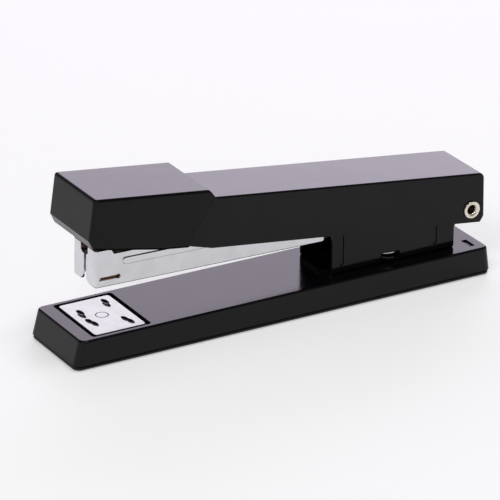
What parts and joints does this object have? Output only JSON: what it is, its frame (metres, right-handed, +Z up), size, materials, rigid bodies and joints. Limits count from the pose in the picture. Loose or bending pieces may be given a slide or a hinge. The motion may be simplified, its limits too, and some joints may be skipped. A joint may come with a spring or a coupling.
{
  "type": "desk stapler",
  "caption": "Full-strip desk stapler with a long weighted base, hinge bracket, chrome staple magazine, sheet handle with a plastic head cap and a turning anvil plate.",
  "frame": {"origin": "middle of the base on the table surface", "axes": "+X from the stapling end to the hinge, +Y across the base, +Z up"},
  "size_m": [0.1663, 0.0336, 0.0599],
  "materials": {
    "black_shell": "gloss black enamel on steel",
    "black_plastic": "moulded black plastic, fine satin gloss",
    "pan_plastic": "matt black plastic",
    "rubber": "matt rubber",
    "chrome": "bright plating",
    "spring_steel": "drawn steel wire and strip",
    "dull_steel": "zinc-plated steel",
    "rivet_nickel": "warm nickel plating",
    "staple_copper": "coppered staple wire, glued"
  },
  "bodies": {
    "base": {"base_shell": "black_shell", "bottom_pan": "pan_plastic", "rubber_feet": "rubber", "hinge_bracket": "black_shell", "bracket_rivets": "black_shell", "hinge_rivet": "rivet_nickel", "hinge_spacers": "dull_steel"},
    "anvil": {"anvil_plate": "chrome", "anvil_stud": "chrome", "anvil_button": "pan_plastic", "anvil_washer": "dull_steel", "anvil_spring": "spring_steel"},
    "magazine": {"magazine_channel": "chrome", "staple_rail": "dull_steel", "rail_rivets": "dull_steel", "pusher_rod": "spring_steel", "rod_block": "dull_steel", "lift_spring": "spring_steel"},
    "pusher": {"pusher": "dull_steel", "pusher_spring": "spring_steel"},
    "staples": {"staple_strip": "staple_copper"},
    "handle": {"handle_arm": "black_shell", "head_cap": "black_plastic", "driver_blade": "spring_steel", "driver_rivets": "dull_steel", "return_leaf": "spring_steel", "leaf_rivets": "dull_steel"}
  },
  "joints": [
    {"name": "magazine_press", "type": "hinge", "parent": "base", "child": "magazine", "pos_m": [0.07665, 0, 0.0246], "axis": [0, 1, 0], "range_deg": [-5.4, 0], "stiffness_Nm_per_rad": 8, "springref_deg": 3.44, "deforming": ["lift_spring"]},
    {"name": "handle_press", "type": "hinge", "parent": "magazine", "child": "handle", "pos_m": [0.07665, 0, 0.0246], "axis": [0, 1, 0], "range_deg": [-5.78, 95], "stiffness_Nm_per_rad": 2, "springref_deg": 2.29, "deforming": ["return_leaf"]},
    {"name": "pusher_slide", "type": "slide", "parent": "magazine", "child": "pusher", "axis": [0.9998, 0, -0.0206], "range_m": [0, 0.045], "stiffness_N_per_m": 30, "springref_m": -0.02, "deforming": ["pusher_spring"]},
    {"name": "staple_feed", "type": "slide", "parent": "magazine", "child": "staples", "axis": [-0.9998, 0, 0.0206], "range_m": [0, 0.0016]},
    {"name": "anvil_lift", "type": "slide", "parent": "base", "child": "anvil", "axis": [0, 0, 1], "range_m": [0, 0.002], "stiffness_N_per_m": 400, "springref_m": -0.002, "deforming": ["anvil_spring"]}
  ]
}
